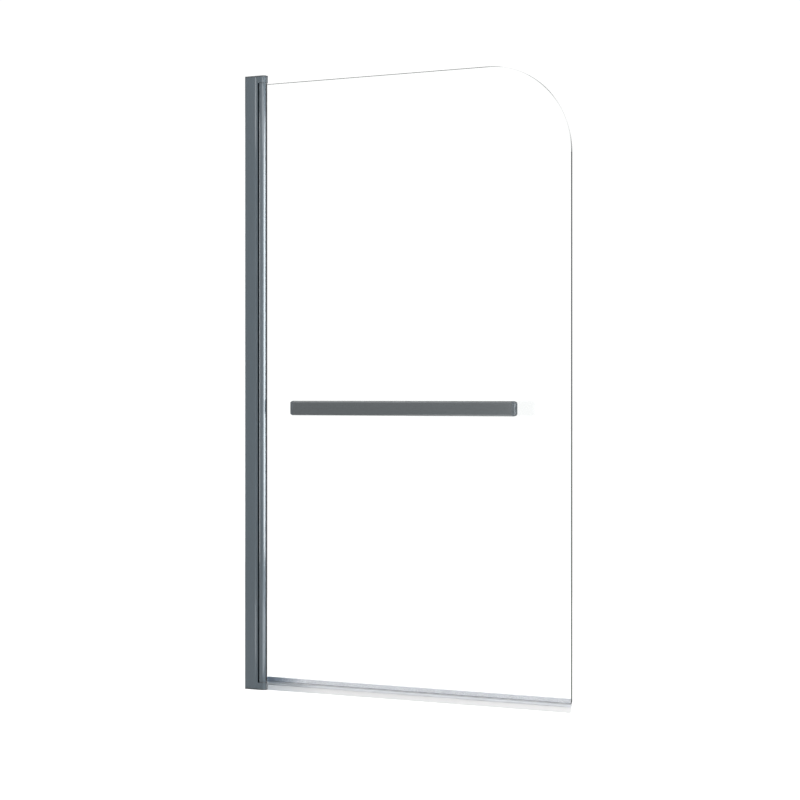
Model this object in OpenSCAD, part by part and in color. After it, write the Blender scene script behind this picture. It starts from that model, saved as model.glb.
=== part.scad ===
/* [Screen] */
// Width from the wall plane to the free glass edge
screen_w = 800; // [760:5:900]
// Height of the wall post, end cover to end cover
screen_h = 1400; // [1350:10:1500]
// Thickness of the toughened glass
glass_t = 6; // [5:0.5:6]
// Radius of the rounded top corner of the glass
corner_r = 194; // [60:2:260]
// Radius of the small bottom corner of the glass
low_corner_r = 4; // [2:0.5:8]
// Distance from the top of the post to the top of the glass
glass_inset = 20; // [20:0.5:22]

/* [Wall post] */
// Depth of the post across the glass
post_d = 20; // [20:0.5:22]
// Width of the post from the wall to its rounded outer end
post_w = 52.5; // [52:0.5:54]
// Corner radius of the post's outer end on the rear face
post_r = 7; // [6:0.5:7]
// Radius of the flatter curve at the post's outer end on the front face
front_r = 9; // [8:0.5:9]
// Width of the slightly rounded strip of the post along the wall
wall_round = 4; // [2:0.5:5]
// Length of the wall profile's legs from the wall
leg_l = 30; // [29:0.5:30]
// Wall thickness of the wall profile's legs
leg_t = 1.6; // [1.4:0.1:1.7]
// Drop of the tapered front of each leg's tip
tip_drop = 0.9; // [0.5:0.1:0.9]
// Thickness of the wall profile's web
web_t = 2; // [1.8:0.1:3]
// Distance from the wall to the flat seat that faces the hinge nose
seat_x = 32.6; // [32.2:0.1:32.6]
// Length of the small lips that frame the seat
seat_lip = 1; // [0.5:0.1:1]
// Distance from the wall to the inner profile's hidden edge
inner_x = 9; // [7:0.5:9]
// Wall thickness of the inner profile
inner_t = 1.4; // [1.2:0.1:1.6]
// Travel of the inner profile when the width is adjusted
adjust_l = 10; // [6:1:10]

/* [Pivot] */
// Distance from the wall to the pivot axis
axis_x = 42.9; // [42.9:0.1:43.1]
// Radius of the steel pivot pins
pin_r = 4; // [3.5:0.1:4]
// Outer radius of the pivot bushes
bush_r = 6; // [5.5:0.1:6]
// Height of a pivot bush
bush_h = 11; // [9:0.5:11]
// Height of a hinge block without its cover
block_h = 13.5; // [13:0.25:13.5]
// Thickness of a thrust washer
washer_t = 1; // [0.8:0.1:1]
// Thickness of the end covers
cover_t = 3; // [2.5:0.25:3]
// Thickness of the plate that bridges from a hinge block onto the inner profile
bridge_t = 3; // [2.5:0.25:3]

/* [Glazing] */
// Depth of the glass slot in the hinge profile
slot_l = 12.5; // [11:0.5:12.5]
// How much shorter the rear lip of the hinge profile is than the front one
rear_lip_back = 2; // [1:0.5:2.5]
// Thickness of the front lip of the hinge profile at its tip
lip_tip = 0.5; // [0.4:0.1:1]
// Thickness of each glazing gasket
gasket_t = 1.5; // [1:0.1:1.5]
// Length of the gasket's lip beyond the end of the hinge profile
gasket_lip = 2; // [0.5:0.25:2.5]
// Clear space behind the glass edge in the slot, filled by packers
packer_t = 1.5; // [1:0.25:2]
// Length of one glass packer
packer_l = 60; // [30:5:90]

/* [Bottom seal] */
// Height of the clip legs above the glass edge
clip_h = 10.5; // [8:0.5:14]
// Thickness of the clip legs
clip_t = 1; // [0.8:0.1:1.2]
// Thickness of the clip's web under the glass
clip_web_t = 1.4; // [1.2:0.1:1.8]
// Radius of the soft bulb
bulb_r = 3.6; // [3:0.1:4]
// Wall thickness of the bulb and the wiping lip
lip_t = 0.9; // [0.8:0.1:1.1]
// Radius that the wiping lip curls to
lip_r = 26; // [24:1:34]
// Clear space between the post's outer end and the seal
seal_gap = 3; // [3:0.5:5]

/* [Towel rail] */
// Overall length of the rail
rail_l = 549; // [459:10:569]
// Height of the rail's section
rail_h = 32.5; // [28:0.5:34]
// Depth of the rail's section
rail_d = 14; // [14:0.5:16]
// Edge radius of the rail
rail_r = 4.5; // [3:0.25:4.5]
// Wall thickness of the rail
rail_t = 1.6; // [1.2:0.1:2]
// Length of each visible rail cap
rail_cap_l = 8.5; // [8:0.5:10]
// Radius of the rail's end corners seen from the front
rail_corner_r = 8; // [4:0.5:8]
// Radius of the rail's end edges seen from above
rail_nose_r = 3.5; // [1:0.25:4.5]
// Distance from the wall to the rail's near end
rail_x = 145.5; // [140:0.5:150]
// Height of the rail's middle above the middle of the post
rail_z = -57; // [-200:1:100]
// Clear gap between the glass and the rail
rail_gap = 40; // [36:1:42]
// Distance between the two standoffs
post_pitch = 400; // [300:10:400]
// Radius of a standoff
standoff_r = 9; // [8:0.5:10]
// Thickness of the clear washers on the glass
pad_t = 1; // [0.8:0.1:1.5]
// Radius of the bolts through the glass
bolt_r = 3; // [2.5:0.25:3]
// Radius of the holes in the glass
glass_hole_r = 7; // [6:0.5:7.5]
// Radius of the discs behind the glass
disc_r = 11; // [10:0.5:13]
// Thickness of the discs behind the glass
disc_t = 5; // [5:0.5:7]

/* [Fixings] */
// Half width of the wall fixing slots
wall_hole_r = 2.75; // [2.5:0.25:3.25]
// Length of the wall fixing slots, end to end
wall_slot_l = 12; // [8:1:16]
// Distance between the outermost wall fixings
outer_pitch = 1200; // [1100:20:1240]
// Distance between the middle wall fixings
inner_pitch = 400; // [300:20:500]
// Radius of the width lock screws
lock_r = 2; // [1.75:0.25:2]
// Distance between the outermost lock screws
lock_pitch = 1120; // [1000:20:1160]
// Distance from the wall to the lock screws
lock_x = 14; // [13.5:0.25:14]
// Radius of the small screws in the hinge blocks and pivot plates
screw_r = 1.5; // [1.4:0.05:1.5]

/* [Fits] */
// Radial running clearance of a pivot pin in its bush
run_gap = 0.05; // [0.02:0.01:0.08]
// Clearance round pieces that are seated in one another
seat_gap = 0.05; // [0.02:0.01:0.1]
// Clearance between the inner profile and the wall profile
slide_gap = 0.3; // [0.2:0.05:0.4]
// Vertical play of the door between the thrust washers
end_play = 0.1; // [0.05:0.05:0.15]
// Clearance between a washer or a plate and what turns past it
free_gap = 0.3; // [0.25:0.05:0.35]

/* [Hidden] */
$fn = 64;
eps = 0.5;
half_d = post_d / 2;
half_h = screen_h / 2;
glass_z = half_h - glass_inset;
glass_x = post_w - slot_l + packer_t;
slot_half = glass_t / 2 + gasket_t;
key_back = 6;
key_w = 2;
key_d = 0.5;
guide_r = 0.4;
cover_z = half_h - cover_t;
bridge_z = cover_z - bridge_t;
block_z = cover_z - block_h;
plate_top = block_z - washer_t - end_play;
leg_in = half_d - leg_t;
inner_half = leg_in - slide_gap;
flange_half = half_d - tip_drop;
tip_l = 3;
flange_x = leg_l + 0.2;
seat_t = 2;
port_x = [15.5, 26];
port_gap = 0.15;
port_r = screw_r + port_gap;
port_wall = 1.6;
nose_port = 3;
washer_inset = 1.2;
pin_tip = 1;
peg_r = 1.45;
block_peg = [37.3, 6.7];
block_peg_l = 4.5;
bridge_peg = [20.8, 5];
bridge_peg_l = 5;
fin_y = 6.2;
fin_half = 1;
fin_t = 1;
fin_out = 0.6;
side_screw_y = (slot_half + half_d) / 2;
csk_r = 2.5;
csk_h = 1.2;
csk_gap = 0.1;
block_head_r = csk_r + 0.4;
block_drive_r = 1.1;
block_drive_h = 0.7;
block_screw_l = 17;
plate_screw_l = 13;
lock_head_r = 3.8;
lock_head_h = 2.4;
lock_tip_y = 4.3;
lock_drive_r = 1.5;
lock_drive_h = 1.2;
lock_cap_r = 5.2;
lock_cap_h = 3.6;
lock_cap_t = 0.8;
face_gap = 0.1;
seal_x = post_w + seal_gap;
seal_back = 1.5;
seal_end = screen_w - seal_back;
flare_h = 1.5;
flare_out = 0.7;
flare_in = 0.6;
stem_w = 3.2;
bulb_rise = 0.3;
bulb_z = -glass_z - clip_web_t - bulb_r + bulb_rise;
lip_lift = 0.6;
lip_end_z = -half_h + lip_lift;
rail_y = -glass_t / 2 - rail_gap - rail_d / 2;
rail_mid = rail_x + rail_l / 2;
rail_plug_l = 12;
plug_t = 1.5;
plug_r = 0.8;
pad_step = 0.5;
fix_x = [rail_mid - post_pitch / 2, rail_mid + post_pitch / 2];
glass_y = glass_t / 2;
nut_l = 22;
nut_h = 16;
nut_t = 4;
bolt_csk_r = 5.4;
bolt_csk_h = 2.6;
bolt_past = 2;
bolt_drive_r = 2;
bolt_drive_h = 1.6;
packer_pitch = 0.86 * glass_z;

// The post's outline seen along Z: slightly rounded along the wall, round corners at the outer end
module post_outline() {
    intersection() {
        translate([wall_round, 0])
            circle(half_d);
        translate([0, -half_d])
            square([wall_round + eps, post_d]);
    }
    outer_end(wall_round, post_w, post_w, 0);
}

// Distance from the wall to the end of a lip of the hinge profile, -1 for the front and 1 for the rear
function lip_end(side) = side < 0 ? post_w : post_w - rear_lip_back;

// A rectangle from x0 to x1 whose two outer corners are round
module end_outline(x0, x1, half_y, r) {
    translate([x0, -half_y])
        square([x1 - r - x0, 2 * half_y]);
    translate([x0, r - half_y])
        square([x1 - x0, 2 * (half_y - r)]);
    for (side = [-1, 1])
        translate([x1 - r, side * (half_y - r)])
            circle(r);
}

// The post's outline from x0 outwards, smaller by inset. Its rear half ends at rear_x with a round corner,
// and its front half at front_x, with a flatter arc that is cut off at the tip of the front lip.
module outer_end(x0, rear_x, front_x, inset) {
    r = front_r - inset;
    arc_y = half_d - front_r;
    end_x = front_x - inset;
    arc_x = end_x - sqrt(r * r - pow(slot_half + lip_tip - arc_y, 2));
    intersection() {
        end_outline(x0, rear_x - inset, half_d - inset, post_r - inset);
        translate([x0, -arc_y / 2])
            square([post_w, post_d]);
    }
    intersection() {
        union() {
            translate([arc_x, -arc_y])
                circle(r);
            translate([x0, inset - half_d])
                square([arc_x - x0, half_d - inset]);
            translate([x0, -arc_y])
                square([end_x - x0, arc_y]);
        }
        translate([x0, -half_d])
            square([end_x - x0, half_d]);
    }
}

// The hinge profile's outline: a round nose about the pivot axis and two rounded lips, the rear one shorter
module nose_outline(inset) {
    intersection() {
        translate([axis_x, 0])
            circle(half_d - inset);
        translate([axis_x - half_d, -half_d])
            square([half_d + eps, post_d]);
    }
    outer_end(axis_x, lip_end(1), lip_end(-1), inset);
}

// A rectangle with four round corners, about the origin
module round_rect(w, h, r) {
    square([w - 2 * r, h], center = true);
    square([w, h - 2 * r], center = true);
    for (sx = [-1, 1], sy = [-1, 1])
        translate([sx * (w / 2 - r), sy * (h / 2 - r)])
            circle(r);
}

// A rod along +Y from y0 to y1
module rod_y(r, y0, y1) {
    translate([0, y1, 0])
        rotate([90, 0, 0])
            cylinder(r = r, h = y1 - y0);
}

// A ring about Y, from y0 to y1
module ring_y(r_out, r_in, y0, y1) {
    difference() {
        rod_y(r_out, y0, y1);
        rod_y(r_in, y0 - eps, y1 + eps);
    }
}

// An outline in the Y-Z plane, run along X from x0 to x1
module run_x(x0, x1) {
    translate([x0, 0, 0])
        rotate([90, 0, 90])
            linear_extrude(x1 - x0)
                children();
}

// The slotted holes through the wall profile's web
module wall_slots() {
    reach = wall_slot_l / 2 - wall_hole_r;
    for (z = [-outer_pitch / 2, -inner_pitch / 2, inner_pitch / 2, outer_pitch / 2])
        translate([-eps, 0, z])
            rotate([0, 90, 0]) {
                for (side = [-1, 1])
                    translate([side * reach, 0, 0])
                        cylinder(r = wall_hole_r, h = web_t + 2 * eps);
                translate([-reach, -wall_hole_r, 0])
                    cube([2 * reach, 2 * wall_hole_r, web_t + 2 * eps]);
            }
}

// The slots in the rear leg that the lock screws travel in
module lock_slots() {
    slot_r = lock_r + free_gap;
    for (z = [-lock_pitch / 2, 0, lock_pitch / 2])
        translate([lock_x, 0, z]) {
            for (x = [0, adjust_l])
                translate([x, 0, 0])
                    rod_y(slot_r, leg_in - eps, half_d + eps);
            translate([0, leg_in - eps, -slot_r])
                cube([adjust_l, leg_t + 2 * eps, 2 * slot_r]);
        }
}

// U-shaped aluminium channel that is screwed to the wall
module wall_profile() {
    end_gap = 0.2;
    color("#5c656c")
        difference() {
            translate([0, 0, end_gap - cover_z])
                linear_extrude(2 * (cover_z - end_gap))
                    difference() {
                        intersection() {
                            post_outline();
                            polygon([
                                [-eps, -half_d], [leg_l - tip_l, -half_d], [leg_l, -flange_half],
                                [leg_l, flange_half], [leg_l - tip_l, half_d], [-eps, half_d]
                            ]);
                        }
                        translate([web_t, -leg_in])
                            square([leg_l, 2 * leg_in]);
                        // a drilling guide line down the inside of the web
                        translate([web_t, 0])
                            circle(guide_r);
                    }
            wall_slots();
            lock_slots();
        }
}

// Box section that slides in the wall profile and carries the pivots
module inner_profile() {
    hollow_x = inner_x + inner_t;
    hollow_end = seat_x - seat_t;
    color("#5f686f")
        difference() {
            translate([0, 0, -bridge_z])
                linear_extrude(2 * bridge_z)
                    difference() {
                        union() {
                            difference() {
                                translate([inner_x, -inner_half])
                                    square([seat_x - inner_x, 2 * inner_half]);
                                translate([hollow_x, inner_t - inner_half])
                                    square([hollow_end - hollow_x, 2 * (inner_half - inner_t)]);
                            }
                            for (side = [-1, 1])
                                translate([flange_x, side < 0 ? -flange_half : flange_half - inner_t])
                                    square([seat_x + seat_lip - flange_x, inner_t]);
                            for (x = port_x)
                                translate([x, 0])
                                    circle(port_r + port_wall);
                            translate([inner_x + eps, -inner_t / 2])
                                square([port_x[0] - inner_x - eps, inner_t]);
                            translate([port_x[1], -inner_t / 2])
                                square([hollow_end + eps - port_x[1], inner_t]);
                        }
                        for (x = port_x)
                            translate([x, 0])
                                circle(port_r);
                        for (side = [-1, 1])
                            translate([seat_x - seat_t / 2, side * fin_y - fin_half])
                                square([seat_t, 2 * fin_half]);
                    }
            for (z = [-lock_pitch / 2, 0, lock_pitch / 2])
                translate([lock_x, 0, z])
                    rod_y(lock_r + seat_gap, inner_half - inner_t - eps, inner_half + eps);
            // the seat's lips stop short of the hinge blocks
            for (side = [-1, 1])
                translate([seat_x, -half_d, side < 0 ? -bridge_z - eps : block_z - seat_gap])
                    cube([2 * seat_lip, post_d, bridge_z - block_z + seat_gap + eps]);
        }
}

// Cast end block: it holds the pivot bush and bridges onto the inner profile
module hinge_block() {
    difference() {
        union() {
            translate([0, 0, block_z])
                linear_extrude(block_h)
                    outer_end(seat_x, post_w, post_w, 0);
            translate([0, 0, bridge_z])
                linear_extrude(bridge_t) {
                    translate([inner_x, -inner_half])
                        square([seat_x + eps - inner_x, 2 * inner_half]);
                    translate([flange_x, -flange_half])
                        square([seat_x + eps - flange_x, 2 * flange_half]);
                }
        }
        translate([axis_x, 0, block_z - eps])
            cylinder(r = bush_r + seat_gap, h = bush_h + eps);
        for (x = port_x)
            translate([x, 0, 0]) {
                translate([0, 0, bridge_z - eps])
                    cylinder(r = screw_r + free_gap, h = bridge_t + 2 * eps);
                translate([0, 0, cover_z - csk_h - seat_gap])
                    cylinder(r1 = screw_r + csk_gap, r2 = block_head_r + free_gap, h = csk_h + 2 * seat_gap);
            }
        for (side = [-1, 1]) {
            translate([block_peg[0], side * block_peg[1], cover_z - block_peg_l - eps])
                cylinder(r = peg_r + seat_gap, h = block_peg_l + 2 * eps);
            translate([bridge_peg[0], side * bridge_peg[1], bridge_z - eps])
                cylinder(r = peg_r + seat_gap, h = bridge_t + 2 * eps);
        }
    }
}

module top_hinge_block() {
    color("#626b72")
        hinge_block();
}

module bottom_hinge_block() {
    color("#626b72")
        mirror([0, 0, 1])
            hinge_block();
}

// Plain bush in the hinge block, round the pivot pin
module pivot_bush() {
    translate([axis_x, 0, block_z])
        difference() {
            cylinder(r = bush_r, h = bush_h);
            translate([0, 0, -eps])
                cylinder(r = pin_r + run_gap, h = bush_h + 2 * eps);
        }
}

module top_pivot_bush() {
    color("#e6e4dc")
        pivot_bush();
}

module bottom_pivot_bush() {
    color("#e6e4dc")
        mirror([0, 0, 1])
            pivot_bush();
}

// Washer between the hinge block and the pivot plate
module thrust_washer() {
    translate([axis_x, 0, block_z - washer_t])
        difference() {
            cylinder(r = half_d - washer_inset, h = washer_t);
            translate([0, 0, -eps])
                cylinder(r = pin_r + free_gap, h = washer_t + 2 * eps);
        }
}

module top_thrust_washer() {
    color("#2a2c2e")
        thrust_washer();
}

module bottom_thrust_washer() {
    color("#2a2c2e")
        mirror([0, 0, 1])
            thrust_washer();
}

// Flat cover over the whole end of the post, held by four pegs
module end_cover() {
    translate([0, 0, cover_z])
        linear_extrude(cover_t)
            post_outline();
    for (side = [-1, 1]) {
        translate([block_peg[0], side * block_peg[1], cover_z - block_peg_l])
            cylinder(r = peg_r, h = block_peg_l + eps);
        translate([bridge_peg[0], side * bridge_peg[1], cover_z - bridge_peg_l])
            cylinder(r = peg_r, h = bridge_peg_l + eps);
    }
}

module top_end_cover() {
    color("#4c5359")
        end_cover();
}

module bottom_end_cover() {
    color("#4c5359")
        mirror([0, 0, 1])
            end_cover();
}

// Countersunk screw with its head up, the head's face at z = 0
module csk_screw(shank_r, shank_l, head_r, head_h) {
    translate([0, 0, -shank_l])
        cylinder(r = shank_r, h = shank_l);
    translate([0, 0, -head_h])
        cylinder(r1 = shank_r, r2 = head_r, h = head_h);
}

// Space of a hex key, cut down from z = 0
module hex_socket(r, depth) {
    translate([0, 0, -depth])
        cylinder(r = r, h = depth + eps, $fn = 6);
}

// Four screws that hold the hinge blocks to the inner profile
module block_screws() {
    color("#8a8d90")
        for (end = [0, 1])
            mirror([0, 0, end])
                for (x = port_x)
                    translate([x, 0, cover_z - seat_gap])
                        difference() {
                            csk_screw(screw_r, block_screw_l, block_head_r, csk_h);
                            hex_socket(block_drive_r, block_drive_h);
                        }
}

// Three screws that lock the inner profile in the wall profile
module lock_screws() {
    head_y = half_d + face_gap;
    color("#8a8d90")
        for (z = [-lock_pitch / 2, 0, lock_pitch / 2])
            translate([lock_x, 0, z])
                difference() {
                    union() {
                        rod_y(lock_r, lock_tip_y, head_y + eps);
                        rod_y(lock_head_r, head_y, head_y + lock_head_h);
                    }
                    translate([0, head_y + lock_head_h, 0])
                        rotate([-90, 0, 0])
                            hex_socket(lock_drive_r, lock_drive_h);
                }
}

// Snap caps over the lock screw heads
module lock_screw_caps() {
    inner_h = lock_cap_h - lock_cap_t;
    y0 = half_d + face_gap;
    color("#565e64")
        for (z = [-lock_pitch / 2, 0, lock_pitch / 2])
            translate([lock_x, 0, z])
                difference() {
                    rod_y(lock_cap_r, y0, y0 + lock_cap_h);
                    rod_y(lock_cap_r - lock_cap_t, y0 - eps, y0 + inner_h);
                }
}

// Soft strip in the seat that closes the gap to the hinge nose
module fin_seal(side) {
    base_x = seat_x - seat_t / 2 + seat_gap;
    fin_z = block_z - washer_t;
    translate([0, 0, -fin_z])
        linear_extrude(2 * fin_z) {
            translate([base_x, side * fin_y - fin_half + seat_gap])
                square([seat_x - base_x, 2 * (fin_half - seat_gap)]);
            translate([seat_x - eps, side * fin_y - fin_t / 2])
                square([fin_out + eps, fin_t]);
        }
}

module front_fin_seal() {
    color("#202325")
        fin_seal(-1);
}

module rear_fin_seal() {
    color("#202325")
        fin_seal(1);
}

// Turning profile that grips the glass
module hinge_profile() {
    color("#626b72")
        translate([0, 0, -glass_z])
            linear_extrude(2 * glass_z)
                difference() {
                    nose_outline(0);
                    translate([post_w - slot_l, -slot_half])
                        square([slot_l + eps, 2 * slot_half]);
                    translate([post_w - key_back, -slot_half - key_d])
                        square([key_w, 2 * (slot_half + key_d)]);
                    for (side = [-1, 1])
                        translate([axis_x, side * side_screw_y])
                            circle(port_r);
                    translate([axis_x - half_d + nose_port, 0])
                        circle(screw_r);
                }
}

// Plate screwed onto the end of the hinge profile, with the pivot pin through it
module pivot_plate() {
    difference() {
        translate([0, 0, glass_z])
            linear_extrude(plate_top - glass_z)
                nose_outline(free_gap);
        translate([axis_x, 0, glass_z - eps])
            cylinder(r = pin_r + seat_gap, h = plate_top - glass_z + 2 * eps);
        for (side = [-1, 1])
            translate([axis_x, side * side_screw_y, 0]) {
                translate([0, 0, glass_z - eps])
                    cylinder(r = screw_r + free_gap / 2, h = plate_top - glass_z + 2 * eps);
                translate([0, 0, plate_top - csk_h - seat_gap])
                    cylinder(r1 = screw_r + csk_gap, r2 = csk_r + free_gap, h = csk_h + 2 * seat_gap);
            }
    }
}

module top_pivot_plate() {
    color("#50575d")
        pivot_plate();
}

module bottom_pivot_plate() {
    color("#50575d")
        mirror([0, 0, 1])
            pivot_plate();
}

// Steel pin from the pivot plate up into the bush, with a chamfered tip
module pivot_pin() {
    straight_l = block_z + bush_h - 2 * pin_tip - glass_z;
    translate([axis_x, 0, glass_z]) {
        cylinder(r = pin_r, h = straight_l);
        translate([0, 0, straight_l])
            cylinder(r1 = pin_r, r2 = pin_r - pin_tip, h = pin_tip);
    }
}

module top_pivot_pin() {
    color("#b9bcc0")
        pivot_pin();
}

module bottom_pivot_pin() {
    color("#b9bcc0")
        mirror([0, 0, 1])
            pivot_pin();
}

// Four screws that hold the pivot plates to the hinge profile
module plate_screws() {
    color("#8a8d90")
        for (end = [0, 1], side = [-1, 1])
            mirror([0, 0, end])
                translate([axis_x, side * side_screw_y, plate_top - seat_gap])
                    csk_screw(screw_r, plate_screw_l, csk_r, csk_h);
}

// Black strip between one lip of the hinge profile and the glass, with a wiping lip on show
module glazing_gasket(side) {
    bead_r = gasket_t / 2 - seat_gap;
    end_x = lip_end(side) + gasket_lip - bead_r;
    translate([0, 0, -glass_z])
        linear_extrude(2 * glass_z)
            mirror([0, side < 0 ? 1 : 0])
                union() {
                    translate([glass_x, glass_y + seat_gap])
                        square([end_x - glass_x, 2 * bead_r]);
                    translate([post_w - key_back + seat_gap, glass_y + seat_gap])
                        square([key_w - 2 * seat_gap, gasket_t + key_d - 2 * seat_gap]);
                    translate([end_x, glass_y + seat_gap + bead_r])
                        circle(bead_r);
                }
}

module front_glazing_gasket() {
    color("#222527")
        glazing_gasket(-1);
}

module rear_glazing_gasket() {
    color("#222527")
        glazing_gasket(1);
}

// Short packers between the glass edge and the bottom of the slot
module glass_packers() {
    color("#3b4247")
        for (i = [-1, 0, 1])
            translate([post_w - slot_l + seat_gap, -glass_y, i * packer_pitch - packer_l / 2])
                cube([packer_t - 2 * seat_gap, glass_t, packer_l]);
}

// The pane: square against the post, round at the free top corner
module glass_outline() {
    translate([glass_x, -glass_z])
        square([screen_w - corner_r - glass_x, 2 * glass_z]);
    translate([glass_x, low_corner_r - glass_z])
        square([screen_w - glass_x, 2 * glass_z - corner_r - low_corner_r]);
    translate([screen_w - corner_r, glass_z - corner_r])
        intersection() {
            circle(corner_r, $fn = 180);
            square(corner_r);
        }
    translate([glass_x, -glass_z])
        square([screen_w - low_corner_r - glass_x, low_corner_r + eps]);
    translate([screen_w - low_corner_r, low_corner_r - glass_z])
        circle(low_corner_r);
}

module glass_panel() {
    color("#dbe9e6", 0.3)
        difference() {
            translate([0, glass_y, 0])
                rotate([90, 0, 0])
                    linear_extrude(glass_t)
                        glass_outline();
            for (x = fix_x)
                translate([x, 0, rail_z])
                    rod_y(glass_hole_r, -glass_t, glass_t);
        }
}

// Clear rigid clip that grips the bottom edge of the glass
module seal_clip() {
    leg_y = glass_y + seat_gap;
    web_z = -glass_z - seat_gap;
    tip_z = clip_h - glass_z;
    // from the outer bottom corner up the leg, over its flared tip and down to the web
    half = [
        [leg_y + clip_t, web_z - clip_web_t],
        [leg_y + clip_t, tip_z - flare_h],
        [leg_y + clip_t + flare_out, tip_z],
        [leg_y + flare_in, tip_z],
        [leg_y, tip_z - flare_h],
        [leg_y, web_z]
    ];
    color("#a9b6c6", 0.6)
        run_x(seal_x, seal_end)
            polygon(concat(half, [for (i = [len(half) - 1 : -1 : 0]) [-half[i][0], half[i][1]]]));
}

// Soft bulb and curled wiping lip under the clip
module seal_skirt() {
    top_z = -glass_z - seat_gap - clip_web_t;
    lip_top = bulb_z - bulb_r + lip_t;
    color("#d3d8dc", 0.6)
        run_x(seal_x, seal_end)
            difference() {
                union() {
                    translate([0, bulb_z])
                        circle(bulb_r);
                    translate([-stem_w / 2, bulb_z])
                        square([stem_w, top_z - bulb_z]);
                    intersection() {
                        translate([-lip_r, lip_top])
                            difference() {
                                circle(lip_r + lip_t / 2, $fn = 180);
                                circle(lip_r - lip_t / 2, $fn = 180);
                            }
                        translate([-half_d, lip_end_z])
                            square([post_d, lip_top - lip_end_z]);
                    }
                }
                translate([0, bulb_z])
                    circle(bulb_r - lip_t);
                // nothing of the bulb rises into the clip's web
                translate([-half_d, top_z])
                    square([post_d, bulb_r]);
            }
}

// Hollow flat rail
module towel_rail() {
    color("#5d6469")
        difference() {
            translate([0, rail_y, rail_z])
                run_x(rail_x + rail_cap_l, rail_x + rail_l - rail_cap_l)
                    difference() {
                        round_rect(rail_d, rail_h, rail_r);
                        round_rect(rail_d - 2 * rail_t, rail_h - 2 * rail_t, rail_r - rail_t);
                    }
            for (x = fix_x)
                translate([x, rail_y, rail_z])
                    rod_y(bolt_r + free_gap, rail_d / 2 - rail_t - eps, rail_d / 2 + eps);
        }
}

// End cap with its plug, pointing along +X, the joint with the rail at x = 0
module rail_cap() {
    plug_w = rail_d - 2 * (rail_t + seat_gap);
    plug_h = rail_h - 2 * (rail_t + seat_gap);
    intersection() {
        run_x(0, rail_cap_l)
            round_rect(rail_d, rail_h, rail_r);
        // rounded outer edges, seen from above and from the front
        translate([0, 0, -rail_h / 2])
            linear_extrude(rail_h)
                end_outline(-eps, rail_cap_l, rail_d / 2, rail_nose_r);
        rotate([90, 0, 0])
            translate([0, 0, -rail_d / 2])
                linear_extrude(rail_d)
                    end_outline(-eps, rail_cap_l, rail_h / 2, rail_corner_r);
    }
    run_x(-rail_plug_l, eps)
        difference() {
            round_rect(plug_w, plug_h, rail_r - rail_t);
            round_rect(plug_w - 2 * plug_t, plug_h - 2 * plug_t, plug_r);
        }
}

module near_rail_cap() {
    color("#565d62")
        translate([rail_x + rail_cap_l, rail_y, rail_z])
            mirror([1, 0, 0])
                rail_cap();
}

module far_rail_cap() {
    color("#565d62")
        translate([rail_x + rail_l - rail_cap_l, rail_y, rail_z])
            rail_cap();
}

// Round spacer between the glass washer and the rail
module standoff(x) {
    translate([x, 0, rail_z])
        ring_y(standoff_r, bolt_r + free_gap, rail_y + rail_d / 2, -glass_y - pad_t);
}

module near_standoff() {
    color("#5b6268")
        standoff(fix_x[0]);
}

module far_standoff() {
    color("#5b6268")
        standoff(fix_x[1]);
}

module outer_glass_washers() {
    color("#c9cfd2", 0.7)
        for (x = fix_x)
            translate([x, 0, rail_z])
                ring_y(standoff_r + pad_step, bolt_r + free_gap, -glass_y - pad_t, -glass_y);
}

module inner_glass_washers() {
    color("#c9cfd2", 0.7)
        for (x = fix_x)
            translate([x, 0, rail_z])
                ring_y(disc_r - pad_step, bolt_r + free_gap, glass_y, glass_y + pad_t);
}

module glass_hole_sleeves() {
    color("#c9cfd2", 0.7)
        for (x = fix_x)
            translate([x, 0, rail_z])
                ring_y(glass_hole_r - seat_gap, bolt_r + seat_gap, -glass_y, glass_y);
}

// Round discs behind the glass, countersunk for the bolts
module rear_discs() {
    y0 = glass_y + pad_t;
    wide_r = bolt_csk_r + 2 * csk_gap;
    color("#5b6268")
        for (x = fix_x)
            translate([x, 0, rail_z])
                difference() {
                    ring_y(disc_r, bolt_r + seat_gap, y0, y0 + disc_t);
                    translate([0, y0 + disc_t + seat_gap, 0])
                        rotate([90, 0, 0])
                            cylinder(r1 = wide_r, r2 = bolt_r + csk_gap, h = bolt_csk_h + seat_gap);
                }
}

// Bolts from the rear discs through glass, standoffs and rail wall into the nut plates
module rail_bolts() {
    y1 = glass_y + pad_t + disc_t;
    y0 = rail_y + rail_d / 2 - rail_t - nut_t - bolt_past;
    color("#9a9da0")
        for (x = fix_x)
            translate([x, 0, rail_z])
                difference() {
                    union() {
                        rod_y(bolt_r, y0, y1 - bolt_csk_h + eps);
                        translate([0, y1, 0])
                            rotate([90, 0, 0])
                                cylinder(r1 = bolt_csk_r, r2 = bolt_r, h = bolt_csk_h);
                    }
                    translate([0, y1, 0])
                        rotate([-90, 0, 0])
                            hex_socket(bolt_drive_r, bolt_drive_h);
                }
}

// Threaded plates inside the rail
module rail_nut_plates() {
    y1 = rail_y + rail_d / 2 - rail_t;
    color("#9a9da0")
        for (x = fix_x)
            translate([x, 0, rail_z])
                difference() {
                    translate([-nut_l / 2, y1 - nut_t, -nut_h / 2])
                        cube([nut_l, nut_t, nut_h]);
                    rod_y(bolt_r + seat_gap, y1 - nut_t - eps, y1 + eps);
                }
}

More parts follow.
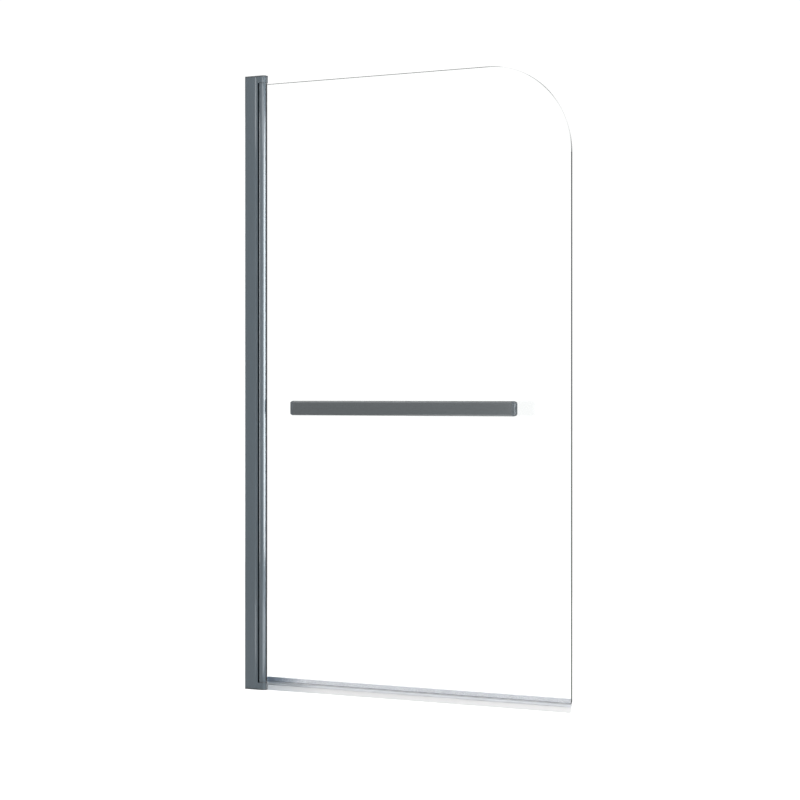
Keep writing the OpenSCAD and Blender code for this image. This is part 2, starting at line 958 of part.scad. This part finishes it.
wall_profile();
inner_profile();
top_hinge_block();
bottom_hinge_block();
top_pivot_bush();
bottom_pivot_bush();
top_thrust_washer();
bottom_thrust_washer();
top_end_cover();
bottom_end_cover();
block_screws();
lock_screws();
lock_screw_caps();
front_fin_seal();
rear_fin_seal();
hinge_profile();
top_pivot_plate();
bottom_pivot_plate();
top_pivot_pin();
bottom_pivot_pin();
plate_screws();
front_glazing_gasket();
rear_glazing_gasket();
glass_packers();
glass_panel();
seal_clip();
seal_skirt();
towel_rail();
near_rail_cap();
far_rail_cap();
near_standoff();
far_standoff();
outer_glass_washers();
inner_glass_washers();
glass_hole_sleeves();
rear_discs();
rail_bolts();
rail_nut_plates();
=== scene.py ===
"""Looks of the hinged bath screen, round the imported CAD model.

Metres, +Z up, X from the wall, -Y to the viewer.
"""
import math

import bmesh
import bpy
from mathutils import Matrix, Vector


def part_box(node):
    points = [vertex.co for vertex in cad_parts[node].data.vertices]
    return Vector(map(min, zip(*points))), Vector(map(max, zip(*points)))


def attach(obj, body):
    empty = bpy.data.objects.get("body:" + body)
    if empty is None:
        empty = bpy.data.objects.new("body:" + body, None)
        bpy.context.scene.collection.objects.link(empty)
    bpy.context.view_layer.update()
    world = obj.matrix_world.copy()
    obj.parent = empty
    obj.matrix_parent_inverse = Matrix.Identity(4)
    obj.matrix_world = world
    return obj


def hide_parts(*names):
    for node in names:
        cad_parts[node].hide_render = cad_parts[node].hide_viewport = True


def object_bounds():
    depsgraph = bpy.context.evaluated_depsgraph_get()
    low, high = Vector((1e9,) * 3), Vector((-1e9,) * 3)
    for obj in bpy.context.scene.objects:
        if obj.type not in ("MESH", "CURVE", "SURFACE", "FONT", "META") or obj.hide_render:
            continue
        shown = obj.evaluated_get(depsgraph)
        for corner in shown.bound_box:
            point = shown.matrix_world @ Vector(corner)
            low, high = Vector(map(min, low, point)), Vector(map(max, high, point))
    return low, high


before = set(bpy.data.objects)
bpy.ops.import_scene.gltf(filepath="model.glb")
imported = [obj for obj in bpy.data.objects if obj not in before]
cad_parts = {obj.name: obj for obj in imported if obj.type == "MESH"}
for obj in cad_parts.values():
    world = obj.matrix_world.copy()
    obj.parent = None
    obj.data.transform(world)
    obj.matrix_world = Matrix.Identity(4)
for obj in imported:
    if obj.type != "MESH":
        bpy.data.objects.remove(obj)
cad_lo, cad_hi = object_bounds()
MM = 0.001

# The camera, fitted to the photograph: level, turned about +Z, horizon a little above the middle
CAM_PLACE = (2.403, -3.964, -0.0257)
CAM_YAW = math.radians(26.89)
CAM_FOCAL_PX = 2017.0
CAM_REACH = 60.0
PICTURE_PX = 800.0
HORIZON_UP_PX = 6.0
SENSOR_MM = 36.0

# X where the clear seal starts, height of its bulb, and Z where the wiping lip hangs from it
SEAL_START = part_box("seal_clip")[0].x
BULB_H = 6.9 * MM
LIP_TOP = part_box("seal_skirt")[1].z - BULB_H

# Node helpers: most of a noise lies between these two values
NOISE_LOW, NOISE_HIGH = 0.3, 0.7


class Nodes:
    """A material's node tree, with short calls for the few nodes used here."""

    def __init__(self, name):
        self.material = bpy.data.materials.new(name)
        self.material.use_nodes = True
        self.tree = self.material.node_tree
        self.shader = self.tree.nodes["Principled BSDF"]
        self.output = self.tree.nodes["Material Output"]
        self.coords = self.new("ShaderNodeTexCoord").outputs["Object"]

    def new(self, kind, **settings):
        node = self.tree.nodes.new(kind)
        for key, value in settings.items():
            setattr(node, key, value)
        return node

    def link(self, a, b):
        self.tree.links.new(a, b)

    def stretched(self, axis, by):
        """The object's coordinates with one axis (0, 1 or 2) scaled: below 1 draws a noise out."""
        node = self.new("ShaderNodeMapping")
        node.inputs["Scale"].default_value = [by if i == axis else 1.0 for i in range(3)]
        self.link(self.coords, node.inputs["Vector"])
        return node.outputs["Vector"]

    def coordinate(self, axis):
        """The object's own X, Y or Z."""
        node = self.new("ShaderNodeSeparateXYZ")
        self.link(self.coords, node.inputs[0])
        return node.outputs[axis]

    def noise(self, scale, detail=2.0, rough=0.5, vector=None):
        node = self.new("ShaderNodeTexNoise")
        node.inputs["Scale"].default_value = scale
        node.inputs["Detail"].default_value = detail
        node.inputs["Roughness"].default_value = rough
        self.link(vector or self.coords, node.inputs["Vector"])
        return node.outputs["Fac"]

    def ranged(self, value, low=0.0, high=1.0, start=NOISE_LOW, end=NOISE_HIGH):
        """A value that goes from low to high where the one given goes from start to end."""
        node = self.new("ShaderNodeMapRange")
        ends = {"From Min": start, "From Max": end, "To Min": low, "To Max": high}
        for key, number in ends.items():
            node.inputs[key].default_value = number
        self.link(value, node.inputs["Value"])
        return node.outputs["Result"]

    def math(self, operation, a, b):
        node = self.new("ShaderNodeMath", operation=operation)
        for i, value in enumerate((a, b)):
            if isinstance(value, (int, float)):
                node.inputs[i].default_value = value
            else:
                self.link(value, node.inputs[i])
        return node.outputs[0]

    def colours(self, fac, low, high):
        """A mix of two colours, each a tuple or another node's output."""
        node = self.new("ShaderNodeMix", data_type="RGBA")
        self.link(fac, node.inputs[0])
        for socket, colour in zip([s for s in node.inputs if s.type == "RGBA"], (low, high)):
            if isinstance(colour, tuple):
                socket.default_value = (*colour, 1)
            else:
                self.link(colour, socket)
        return next(s for s in node.outputs if s.type == "RGBA")

    def tones(self, noise, colour, darker, lighter):
        """A colour that drifts with a noise, between two shares of itself."""
        return self.colours(self.ranged(noise), shade(colour, darker), shade(colour, lighter))

    def bump(self, height, depth, strength, after=None):
        node = self.new("ShaderNodeBump")
        node.inputs["Strength"].default_value = strength
        node.inputs["Distance"].default_value = depth
        self.link(height, node.inputs["Height"])
        if after is not None:
            self.link(after, node.inputs["Normal"])
        return node.outputs["Normal"]

    def set(self, **values):
        for key, value in values.items():
            self.shader.inputs[key.replace("_", " ")].default_value = value

    def wire(self, socket, value):
        self.link(value, self.shader.inputs[socket])


def shade(colour, by):
    return tuple(min(1.0, c * by) for c in colour)


# Powder coat: scales of its three noises, how far two of them are drawn out, how much each of
# those two tells in the tone, how deep the lines and the peel are, how far the tone goes up
# and down, and the range of roughness
COAT_DRIFT, COAT_DRIFT_DRAWN, COAT_DRIFT_SHARE = 9.0, 0.25, 0.6
COAT_LINES, COAT_LINES_DRAWN, COAT_LINES_SHARE = 420.0, 0.004, 0.4
COAT_PEEL = 900.0
COAT_LINE_DEPTH, COAT_PEEL_DEPTH = 0.01 * MM, 0.02 * MM
COAT_SPREAD = 0.06
COAT_ROUGH = (0.26, 0.34)


def coated(name, colour, along, peel_scale=COAT_PEEL):
    """Powder coat over aluminium with a clear layer on top: fine orange peel, faint draw lines
    along one axis (0, 1 or 2) and a slow drift in tone."""
    n = Nodes(name)
    drift = n.noise(COAT_DRIFT, detail=3.0, vector=n.stretched(along, COAT_DRIFT_DRAWN))
    lines = n.noise(COAT_LINES, vector=n.stretched(along, COAT_LINES_DRAWN))
    peel = n.noise(peel_scale, rough=0.6)
    tone = n.math("ADD", n.math("MULTIPLY", drift, COAT_DRIFT_SHARE),
                  n.math("MULTIPLY", lines, COAT_LINES_SHARE))
    n.wire("Base Color", n.tones(tone, colour, 1 - COAT_SPREAD, 1 + COAT_SPREAD))
    n.wire("Roughness", n.ranged(peel, *COAT_ROUGH))
    drawn = n.bump(lines, COAT_LINE_DEPTH, strength=0.4)
    n.wire("Normal", n.bump(peel, COAT_PEEL_DEPTH, strength=0.5, after=drawn))
    n.set(Metallic=0.2, Coat_Weight=1.0, Coat_Roughness=0.08)
    return n.material


# Moulded plastic: scale of its change of tone, and how far the gloss goes down and up
MOULD_DRIFT = 35.0
MOULD_ROUGH_DOWN, MOULD_ROUGH_UP = 0.05, 0.06


def moulded(name, colour, rough, grain=700.0, depth=0.03, spread=0.08, **values):
    """Moulded plastic or rubber: a fine spark texture, depth in millimetres, with a slow change
    of tone and gloss."""
    n = Nodes(name)
    spark = n.noise(grain, detail=3.0, rough=0.65)
    drift = n.noise(MOULD_DRIFT)
    n.wire("Base Color", n.tones(drift, colour, 1 - spread, 1 + spread))
    n.wire("Roughness", n.ranged(spark, rough - MOULD_ROUGH_DOWN, rough + MOULD_ROUGH_UP))
    n.wire("Normal", n.bump(spark, depth * MM, strength=0.5))
    n.set(**values)
    return n.material


# Steel: scales of its scratches and its change of tone, how far and along which axis the
# scratches are drawn out, how deep they are, and the ranges of tone and roughness
STEEL_SCRATCHES, STEEL_DRIFT = 2600.0, 60.0
STEEL_DRAWN_AXIS, STEEL_DRAWN = 1, 0.06
STEEL_DEPTH = 0.01 * MM
STEEL_TONES = (0.9, 1.06)
STEEL_ROUGH = (0.2, 0.36)


def steel(name, colour):
    """Plain stainless steel, turned or brushed, with fine scratches."""
    n = Nodes(name)
    scratch = n.noise(STEEL_SCRATCHES, rough=0.6, vector=n.stretched(STEEL_DRAWN_AXIS, STEEL_DRAWN))
    drift = n.noise(STEEL_DRIFT)
    n.wire("Base Color", n.tones(drift, colour, *STEEL_TONES))
    n.wire("Roughness", n.ranged(scratch, *STEEL_ROUGH))
    n.wire("Normal", n.bump(scratch, STEEL_DEPTH, strength=0.5))
    n.set(Metallic=1.0)
    return n.material


# Clear looks: half the height over which the low tone blends into the other, and how bright
# the tint is that they give the lamps' light
LOW_BLEND = 0.5 * MM
LAMP_TINT = 0.97


def clear(name, colour, rough, ior, wave, depth, clearness=1.0, spread=0.02, gloss=0.5,
          painted_shade_by_post=None, low=None, painted_reflection_by_height=None):
    """Clear glass or plastic that lets the lamps through, with slow waves in its surface, of
    scale wave and depth in millimetres, and a faint change of tone.

    The post argument is (colour beside the post, X where that ends): a painted shade there.
    low is (colour, Z), for another tone below that height.
    The height argument lists (Z, how clear): a painted reflection on a ground edge, darker and
    lighter.
    """
    n = Nodes(name)
    waves = n.noise(wave, detail=1.0)
    tone = n.tones(waves, colour, 1 - spread, 1 + spread)
    if low:
        below, height = low
        up = n.ranged(n.coordinate("Z"), start=height - LOW_BLEND, end=height + LOW_BLEND)
        tone = n.colours(up, below, tone)
    # Painted shade: the plastic turns darker towards the post
    if painted_shade_by_post:
        beside, end = painted_shade_by_post
        away = n.ranged(n.coordinate("X"), start=SEAL_START, end=end)
        tone = n.colours(away, beside, tone)
    n.wire("Base Color", tone)
    n.wire("Normal", n.bump(waves, depth * MM, strength=0.5))
    n.set(Roughness=rough, IOR=ior, Transmission_Weight=clearness, Specular_IOR_Level=gloss)

    lets_through = n.new("ShaderNodeLightPath").outputs["Is Shadow Ray"]
    tint = shade(colour, LAMP_TINT)
    # Painted reflection: darker and clearer stretches along the edge, by height
    if painted_reflection_by_height:
        bottom, top = painted_reflection_by_height[0][0], painted_reflection_by_height[-1][0]
        ramp = n.new("ShaderNodeValToRGB")
        steps = ramp.color_ramp.elements
        while len(steps) < len(painted_reflection_by_height):
            steps.new(1.0)
        for step, (height, share) in zip(steps, painted_reflection_by_height):
            step.position = (height - bottom) / (top - bottom)
            step.color = (share, share, share, 1)
        n.link(n.ranged(n.coordinate("Z"), start=bottom, end=top), ramp.inputs[0])
        lets_through = n.math("MAXIMUM", lets_through, ramp.outputs["Color"])
        tint = (1, 1, 1)
    through = n.new("ShaderNodeBsdfTransparent")
    through.inputs["Color"].default_value = (*tint, 1)
    mix = n.new("ShaderNodeMixShader")
    n.link(lets_through, mix.inputs[0])
    n.link(n.shader.outputs[0], mix.inputs[1])
    n.link(through.outputs[0], mix.inputs[2])
    n.link(mix.outputs[0], n.output.inputs["Surface"])
    return n.material


GUNMETAL = (0.036, 0.063, 0.084)
LOOKS = {
    "coated_profile": coated("look_coated_profile", GUNMETAL, along=2),
    "coated_casting": coated("look_coated_casting", shade(GUNMETAL, 1.02), along=2,
                             peel_scale=650.0),
    "rail_metal": coated("look_rail_metal", (0.034, 0.0455, 0.051), along=0),
    "cover_plastic": moulded("look_cover_plastic", (0.055, 0.068, 0.078), rough=0.55),
    "bush_plastic": moulded("look_bush_plastic", (0.8, 0.79, 0.75), rough=0.45, depth=0.01,
                            spread=0.03),
    "washer_plastic": moulded("look_washer_plastic", (0.03, 0.032, 0.035), rough=0.4, depth=0.01),
    "packer_plastic": moulded("look_packer_plastic", (0.05, 0.058, 0.065), rough=0.5),
    "black_rubber": moulded("look_black_rubber", (0.052, 0.055, 0.059), rough=0.6, grain=1100.0,
                            depth=0.04, spread=0.15, Specular_IOR_Level=0.2),
    "bright_steel": steel("look_bright_steel", (0.55, 0.56, 0.57)),
    "clear_glass": clear("look_clear_glass", (0.975, 0.99, 0.985), rough=0.0, ior=1.52, wave=3.0,
                         depth=0.02, spread=0.004),
    # The clip and the skirt carry a painted shade beside the post
    "clip_plastic": clear("look_clip_plastic", (0.74, 0.75, 0.775), rough=0.12, ior=1.49, wave=30.0,
                          depth=0.006, clearness=0.92, painted_shade_by_post=((0.16, 0.22, 0.29), 0.15)),
    "skirt_plastic": clear("look_skirt_plastic", (0.82, 0.83, 0.85), rough=0.28, ior=1.46,
                           wave=40.0, depth=0.04, clearness=0.85,
                           painted_shade_by_post=((0.44, 0.47, 0.50), 0.20), low=((0.68, 0.68, 0.68), LIP_TOP)),
    "pad_plastic": clear("look_pad_plastic", (0.82, 0.86, 0.87), rough=0.25, ior=1.46, wave=200.0,
                         depth=0.05, clearness=0.85),
}
GLASS_EDGE = clear("look_glass_edge", (0.02, 0.026, 0.025), rough=0.12, ior=1.52, wave=160.0,
                   depth=0.1, clearness=0.2, spread=0.1, gloss=0.1)

# How clear the edge is round the pane's large corner, by the way it faces: degrees up from +X
# and share. This is a painted reflection: the dark stretches stand for something dark mirrored half
# way.
CORNER_R = 194 * MM
CORNER_PAINTED_REFLECTION = [(0, 0.0), (6.5, 0.4), (12, 0.72), (20, 0.84), (32, 0.78), (40, 0.4), (46, 0.0),
                (57, 0.0), (62.5, 0.62), (77, 0.84), (82, 0.4), (90, 0.0)]
CORNER_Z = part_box("glass_panel")[1].z - CORNER_R
CORNER_REFLECTION_HEIGHTS = [(CORNER_Z + CORNER_R * math.sin(math.radians(a)), share)
                  for a, share in CORNER_PAINTED_REFLECTION]
GLASS_CORNER = clear("look_glass_corner", (0.12, 0.14, 0.135), rough=0.12, ior=1.52, wave=160.0,
                     depth=0.1, clearness=0.6, spread=0.1, gloss=0.2, painted_reflection_by_height=CORNER_REFLECTION_HEIGHTS)

# Edge rounding of each CAD node in millimetres. The pane isn't here: it is made anew below.
ROUNDING = {
    "wall_profile": 0.25, "inner_profile": 0.2, "hinge_profile": 0.25,
    "top_hinge_block": 0.3, "bottom_hinge_block": 0.3,
    "top_end_cover": 0.3, "bottom_end_cover": 0.3,
    "top_pivot_plate": 0.2, "bottom_pivot_plate": 0.2,
    "top_pivot_pin": 0.1, "bottom_pivot_pin": 0.1,
    "top_pivot_bush": 0.15, "bottom_pivot_bush": 0.15,
    "top_thrust_washer": 0.1, "bottom_thrust_washer": 0.1,
    "block_screws": 0.08, "plate_screws": 0.08, "lock_screws": 0.12, "lock_screw_caps": 0.4,
    "front_fin_seal": 0.1, "rear_fin_seal": 0.1,
    "front_glazing_gasket": 0.08, "rear_glazing_gasket": 0.08,
    "glass_packers": 0.15, "seal_clip": 0.12, "seal_skirt": 0.1,
    "towel_rail": 0.3, "near_rail_cap": 0.35, "far_rail_cap": 0.35,
    "near_standoff": 0.5, "far_standoff": 0.5, "rear_discs": 0.6,
    "outer_glass_washers": 0.15, "inner_glass_washers": 0.15, "glass_hole_sleeves": 0.1,
    "rail_bolts": 0.12, "rail_nut_plates": 0.2,
}
# Before the rounding, points this close merge and faces this flat join. Edges sharper than
# SHARP_ANGLE are rounded, each in so many steps.
WELD_GAP = 1e-6
FLAT_ANGLE = math.radians(0.4)
SHARP_ANGLE = math.radians(14)
ROUNDING_STEPS = 3
NORMALS_WEIGHT = 60


def dress(obj, rounding):
    """Gives a CAD node the look of its slot, and rounds its edges by modifiers."""
    worn = obj.material_slots[0]
    worn.material = LOOKS[worn.material.name]
    weld = obj.modifiers.new("weld", "WELD")
    weld.merge_threshold = WELD_GAP
    flat = obj.modifiers.new("flat", "DECIMATE")
    flat.decimate_type = "DISSOLVE"
    flat.angle_limit = FLAT_ANGLE
    bevel = obj.modifiers.new("round", "BEVEL")
    bevel.width = rounding * MM
    bevel.segments = ROUNDING_STEPS
    bevel.limit_method = "ANGLE"
    bevel.angle_limit = SHARP_ANGLE
    bevel.use_clamp_overlap = True
    normals = obj.modifiers.new("normals", "WEIGHTED_NORMAL")
    normals.weight = NORMALS_WEIGHT
    normals.keep_sharp = False


for node, rounding in ROUNDING.items():
    dress(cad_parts[node], rounding)

# The pane, with ground and polished edges. It repeats the corner radii and the hole's radius
# of the CAD pane. ARRIS is the width of the ground strip along each edge.
LOW_CORNER_R = 4 * MM
HOLE_R = 7 * MM
ARRIS = 0.7 * MM
CORNER_STEPS = 72
LOW_CORNER_STEPS = 10
HOLE_STEPS = 48
PANE_SHARP_ANGLE = math.radians(25)
# The pane's materials, by number
ON_FACE, ON_EDGE, ON_CORNER = range(3)


def arc(cx, cz, r, start, end, steps):
    """Points (x, z) of an arc, its start and end in degrees up from +X."""
    out = []
    for i in range(steps + 1):
        a = math.radians(start + (end - start) * i / steps)
        out.append((cx + r * math.cos(a), cz + r * math.sin(a)))
    return out


def closed(ring):
    """Each point of a closed ring with the next one."""
    return list(zip(ring, ring[1:] + ring[:1]))


def pane():
    """The pane: four rings of points from front to rear for its outline and for each hole, with
    edge faces between them, and a flat face across the first rings and the last."""
    lo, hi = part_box("glass_panel")
    # The outline's edge faces that lie on the large corner
    corner_start = LOW_CORNER_STEPS + 2
    corner_end = corner_start + CORNER_STEPS

    def outline(inset):
        x0, z0, z1 = lo.x + inset, lo.z + inset, hi.z - inset
        low = arc(hi.x - LOW_CORNER_R, lo.z + LOW_CORNER_R, LOW_CORNER_R - inset, -90, 0,
                  LOW_CORNER_STEPS)
        high = arc(hi.x - CORNER_R, hi.z - CORNER_R, CORNER_R - inset, 0, 90, CORNER_STEPS)
        return [(x0, z0), *low, *high, (x0, z1)]

    def hole(standoff):
        a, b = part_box(standoff)
        x, z = (a.x + b.x) / 2, (a.z + b.z) / 2
        return lambda inset: arc(x, z, HOLE_R + inset, 360, 360 / HOLE_STEPS, HOLE_STEPS - 1)

    bm = bmesh.new()
    rings = []
    for build in (outline, hole("near_standoff"), hole("far_standoff")):
        loops = []
        for y, inset in ((lo.y, ARRIS), (lo.y + ARRIS, 0), (hi.y - ARRIS, 0), (hi.y, ARRIS)):
            loops.append([bm.verts.new((x, y, z)) for x, z in build(inset)])
        rings.append(loops)
        for a, b in zip(loops, loops[1:]):
            for i, ((a0, a1), (b0, b1)) in enumerate(zip(closed(a), closed(b))):
                face = bm.faces.new((a0, a1, b1, b0))
                on_corner = build is outline and corner_start <= i < corner_end
                face.material_index = ON_CORNER if on_corner else ON_EDGE
                face.smooth = True
    for side in (0, -1):
        edges = [bm.edges.get(pair) for loops in rings for pair in closed(loops[side])]
        made = bmesh.ops.triangle_fill(bm, use_beauty=True, use_dissolve=False, edges=edges)
        for face in made["geom"]:
            if isinstance(face, bmesh.types.BMFace):
                face.material_index = ON_FACE
    bmesh.ops.recalc_face_normals(bm, faces=bm.faces)
    mesh = bpy.data.meshes.new("glass_pane")
    bm.to_mesh(mesh)
    bm.free()
    for look in (LOOKS["clear_glass"], GLASS_EDGE, GLASS_CORNER):
        mesh.materials.append(look)
    obj = bpy.data.objects.new("glass_pane", mesh)
    bpy.context.scene.collection.objects.link(obj)
    mesh.set_sharp_from_angle(angle=PANE_SHARP_ANGLE)
    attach(obj, "door")
    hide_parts("glass_panel")
    return obj


# What the cards leave unlit: the pane, which would hide what is behind it when it swings
# towards a card
CARD_SKIPS = bpy.data.collections.new("card_skips")
CARD_SKIPS.objects.link(pane())
CARD_SKIPS.collection_objects[0].light_linking.link_state = "EXCLUDE"

# Stage: plain floor, white surroundings, soft lamps. The two SEEN values are how bright the
# surroundings and the floor are to the camera, in mirrors and through the glass, and
# WHITE_LIGHTING is how bright the surroundings light the object.
WHITE_SEEN = 1.06
WHITE_LIGHTING = 0.27
FLOOR_SEEN = 0.94
FLOOR_Z = cad_lo.z - 0.2 * MM
FLOOR_HALF = 30.0
FLOOR_NOISE = 1.3
FLOOR_DARK, FLOOR_LIGHT = (0.34, 0.34, 0.34), (0.36, 0.36, 0.36)


def seen_rays(tree):
    """1 for rays from the camera, and for those that metal mirrors or glass lets through."""
    path = tree.nodes.new("ShaderNodeLightPath")
    total = path.outputs["Is Camera Ray"]
    for name in ("Is Glossy Ray", "Is Transmission Ray"):
        add = tree.nodes.new("ShaderNodeMath")
        add.operation = "MAXIMUM"
        tree.links.new(total, add.inputs[0])
        tree.links.new(path.outputs[name], add.inputs[1])
        total = add.outputs[0]
    return total


def make_world():
    world = bpy.data.worlds.new("studio")
    bpy.context.scene.world = world
    world.use_nodes = True
    tree = world.node_tree
    back = tree.nodes["Background"]
    back.inputs["Color"].default_value = (1, 1, 1, 1)
    blend = tree.nodes.new("ShaderNodeMapRange")
    blend.inputs["To Min"].default_value = WHITE_LIGHTING
    blend.inputs["To Max"].default_value = WHITE_SEEN
    tree.links.new(seen_rays(tree), blend.inputs["Value"])
    tree.links.new(blend.outputs["Result"], back.inputs["Strength"])


def make_floor():
    mesh = bpy.data.meshes.new("floor")
    corners = ((-1, -1), (1, -1), (1, 1), (-1, 1))
    points = [(x * FLOOR_HALF, y * FLOOR_HALF, FLOOR_Z) for x, y in corners]
    mesh.from_pydata(points, [], [(0, 1, 2, 3)])
    obj = bpy.data.objects.new("floor", mesh)
    bpy.context.scene.collection.objects.link(obj)
    n = Nodes("look_floor")
    n.wire("Base Color", n.colours(n.ranged(n.noise(FLOOR_NOISE)), FLOOR_DARK, FLOOR_LIGHT))
    n.set(Roughness=0.9, Specular_IOR_Level=0.1, Emission_Color=(1, 1, 1, 1))
    n.wire("Emission Strength", n.math("MULTIPLY", seen_rays(n.tree), FLOOR_SEEN))
    mesh.materials.append(n.material)


def lamp(name, place, aim, size, radiance, card):
    """A soft box, hidden from the camera and from what is seen through glass. A card is only
    mirrored in glossy surfaces, and the other soft boxes only light the matt ones."""
    data = bpy.data.lights.new(name, "AREA")
    data.shape = "RECTANGLE"
    data.size, data.size_y = size
    data.energy = radiance * math.pi * size[0] * size[1]
    obj = bpy.data.objects.new(name, data)
    obj.location = place
    obj.rotation_mode = "QUATERNION"
    obj.rotation_quaternion = (Vector(aim) - Vector(place)).to_track_quat("-Z", "Y")
    obj.visible_camera = False
    obj.visible_transmission = False
    obj.visible_diffuse = not card
    obj.visible_glossy = card
    if card:
        obj.light_linking.receiver_collection = CARD_SKIPS
    bpy.context.scene.collection.objects.link(obj)


# Each lamp's name, place, the point that it faces, its width and height, and its radiance
BOXES = [
    ("side_box", (1.6, -0.45, 0.1), (0.1, 0, 0.1), (2.6, 1.5), 1.54),
    ("front_box", (0.35, -2.5, 0.1), (0.35, 0, 0.1), (1.5, 1.5), 1.85),
    ("left_box", (-1.5, -0.1, 0.1), (0.1, 0, 0.1), (1.4, 1.5), 1.15),
    ("rear_box", (-0.7, 2.0, 0.3), (0.3, 0, 0.3), (1.6, 1.5), 1.7),
    ("top_box", (0.6, -0.6, 2.3), (0.6, -0.6, 0), (2.4, 1.6), 1.23),
]
CARDS = [
    ("side_card", (1.62, -1.58, 0.145), (0, -1.58, 0.145), (1.36, 1.37), 7.5),
    ("side_strip", (1.62, -0.59, 0.145), (0, -0.59, 0.145), (0.62, 1.37), 14.0),
    ("front_card", (1.0, -2.5, 0.22), (1.0, 0, 0.22), (2.8, 1.75), 3.3),
    ("left_card", (-1.52, -0.49, 0.145), (0, 0, 0.145), (0.56, 1.37), 3.5),
    ("far_card", (-1.95, -8, 0.8), (-1.95, 0, 0.8), (1.5, 3.0), 2.8),
    ("high_card", (-3.2, -8, 4.6), (-3.2, 0, 4.6), (4.6, 4.6), 1.4),
    ("floor_card", (0.75, -1.0, -0.69), (0.75, -1.0, 1.0), (1.4, 1.6), 2.2),
    ("top_card", (-0.4, -0.85, 2.3), (-0.4, -0.85, 0), (2.8, 3.3), 1.6),
]


def make_camera():
    data = bpy.data.cameras.new("camera")
    data.sensor_width = SENSOR_MM
    data.lens = CAM_FOCAL_PX * SENSOR_MM / PICTURE_PX
    data.shift_y = -HORIZON_UP_PX / PICTURE_PX
    data.clip_end = CAM_REACH
    obj = bpy.data.objects.new("camera", data)
    obj.location = CAM_PLACE
    obj.rotation_euler = (math.radians(90), 0, CAM_YAW)
    bpy.context.scene.collection.objects.link(obj)
    bpy.context.scene.camera = obj


make_world()
make_floor()
for row in BOXES:
    lamp(*row, card=False)
for row in CARDS:
    lamp(*row, card=True)
make_camera()
bpy.context.scene.view_settings.view_transform = "Standard"
